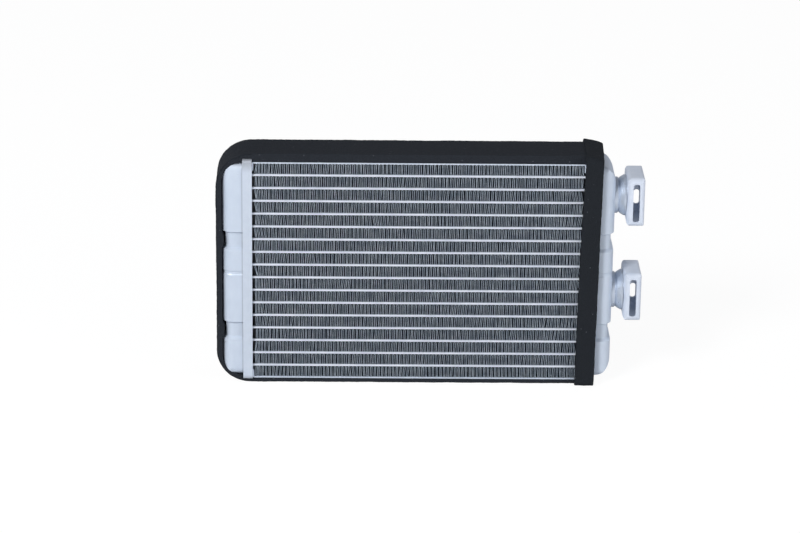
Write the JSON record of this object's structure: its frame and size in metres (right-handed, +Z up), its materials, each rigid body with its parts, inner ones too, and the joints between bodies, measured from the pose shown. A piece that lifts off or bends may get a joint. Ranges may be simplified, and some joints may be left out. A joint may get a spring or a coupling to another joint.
{
  "type": "heater core",
  "caption": "Flat heater core: tubes and folded fins between two tanks, pipe couplings on one tank and foam seals round the edges.",
  "frame": {"origin": "centre of the foam underside, below the middle of the core", "axes": "+X along the tubes towards the pipe couplings, +Y to the back face of the core, +Z up"},
  "size_m": [0.2906, 0.0448, 0.1668],
  "materials": {
    "tube": "brazed sheet, satin",
    "fin": "thin bright foil, louvred",
    "sheet": "brazed sheet, satin",
    "tank": "pressed sheet, satin",
    "stub": "turned, satin",
    "cage": "pressed, bright",
    "foam": "closed-cell foam, matt"
  },
  "bodies": {
    "root": {"tube_1": "tube", "tube_2": "tube", "tube_3": "tube", "tube_4": "tube", "tube_5": "tube", "tube_6": "tube", "tube_7": "tube", "tube_8": "tube", "tube_9": "tube", "tube_10": "tube", "tube_11": "tube", "tube_12": "tube", "tube_13": "tube", "tube_14": "tube", "tube_15": "tube", "tube_16": "tube", "fin_row_1": "fin", "fin_row_2": "fin", "fin_row_3": "fin", "fin_row_4": "fin", "fin_row_5": "fin", "fin_row_6": "fin", "fin_row_7": "fin", "fin_row_8": "fin", "fin_row_9": "fin", "fin_row_10": "fin", "fin_row_11": "fin", "fin_row_12": "fin", "fin_row_13": "fin", "fin_row_14": "fin", "fin_row_15": "fin", "fin_row_16": "fin", "fin_row_17": "fin", "top_side_plate": "sheet", "bottom_side_plate": "sheet", "left_header_plate": "sheet", "right_header_plate": "sheet", "left_tank_cover": "tank", "right_tank_cover": "tank", "baffle": "sheet", "upper_pipe_stub": "stub", "lower_pipe_stub": "stub", "upper_coupling_cage": "cage", "lower_coupling_cage": "cage", "foam_band": "foam", "foam_strip": "foam"}
  },
  "joints": []
}
